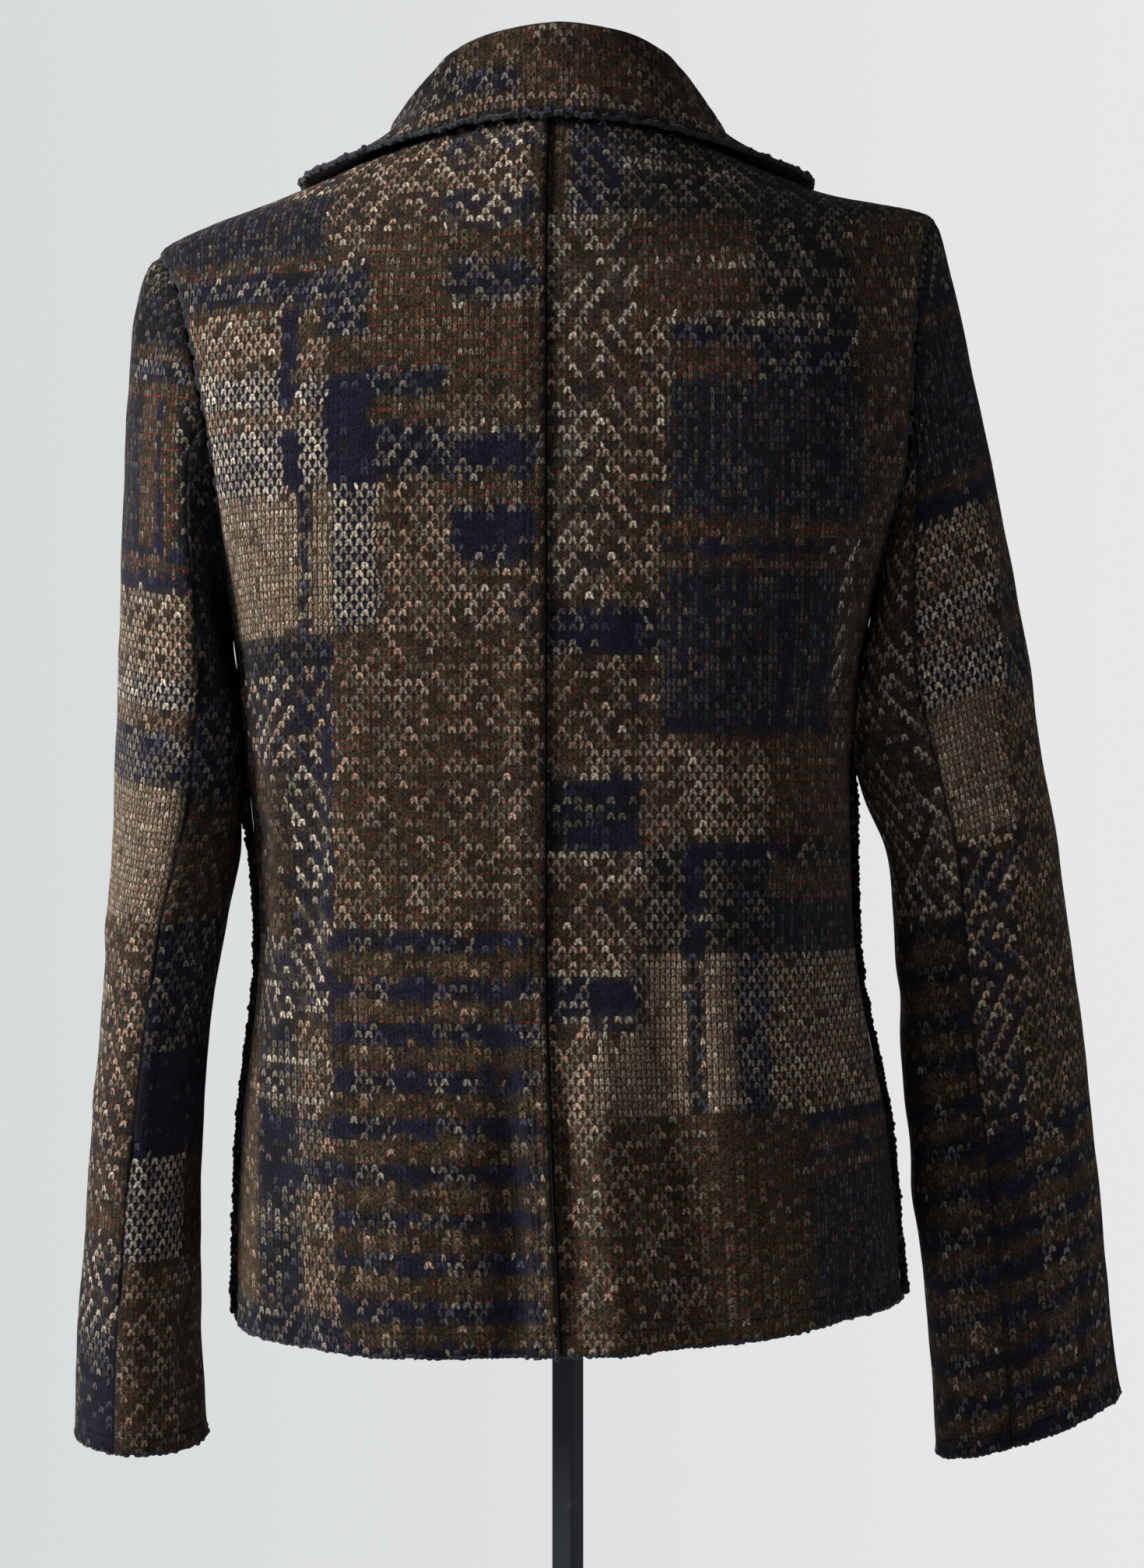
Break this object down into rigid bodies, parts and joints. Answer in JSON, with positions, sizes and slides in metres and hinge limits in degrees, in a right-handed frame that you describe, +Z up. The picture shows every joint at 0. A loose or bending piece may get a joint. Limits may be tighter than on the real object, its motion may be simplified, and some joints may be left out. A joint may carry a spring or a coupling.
{
  "type": "short coat on a dress form",
  "caption": "Hip-length fitted coat in felted patchwork knit with a turned collar, two-piece sleeves and raw seams, buttoned on a limbless dress form with a square pole and round base.",
  "frame": {"origin": "centre of the stand's round underside, on the floor under the pole's axis", "axes": "+Z up; +Y towards the wearer's back; +X towards the wearer's left"},
  "size_m": [0.5534, 0.37, 1.4738],
  "materials": {
    "back_left_cloth": "felted multicolour knit, matte",
    "back_right_cloth": "felted multicolour knit, matte",
    "front_left_cloth": "felted multicolour knit, matte",
    "front_right_cloth": "felted multicolour knit, matte",
    "lapel_left_cloth": "felted multicolour knit, matte",
    "lapel_right_cloth": "felted multicolour knit, matte",
    "collar_cloth": "felted multicolour knit, matte",
    "top_sleeve_left_cloth": "felted multicolour knit, matte",
    "under_sleeve_left_cloth": "felted multicolour knit, matte",
    "top_sleeve_right_cloth": "felted multicolour knit, matte",
    "under_sleeve_right_cloth": "felted multicolour knit, matte",
    "side_seam_left_cloth": "raw dark edge of the knit",
    "side_seam_right_cloth": "raw dark edge of the knit",
    "button_1_horn": "dark horn look, satin",
    "button_2_horn": "dark horn look, satin",
    "button_3_horn": "dark horn look, satin",
    "form_jersey": "black jersey cover",
    "neck_cap_paint": "satin black",
    "stand_base_paint": "satin black powder coat",
    "stand_pole_paint": "satin blue-black",
    "stand_socket_paint": "satin black"
  },
  "bodies": {
    "root": {"back_left": "back_left_cloth", "back_right": "back_right_cloth", "front_left": "front_left_cloth", "front_right": "front_right_cloth", "lapel_left": "lapel_left_cloth", "lapel_right": "lapel_right_cloth", "collar": "collar_cloth", "top_sleeve_left": "top_sleeve_left_cloth", "under_sleeve_left": "under_sleeve_left_cloth", "top_sleeve_right": "top_sleeve_right_cloth", "under_sleeve_right": "under_sleeve_right_cloth", "side_seam_left": "side_seam_left_cloth", "side_seam_right": "side_seam_right_cloth", "button_1": "button_1_horn", "button_2": "button_2_horn", "button_3": "button_3_horn", "form_torso": "form_jersey", "neck_cap": "neck_cap_paint", "stand_base": "stand_base_paint", "stand_pole": "stand_pole_paint", "pole_socket": "stand_socket_paint"}
  },
  "joints": []
}
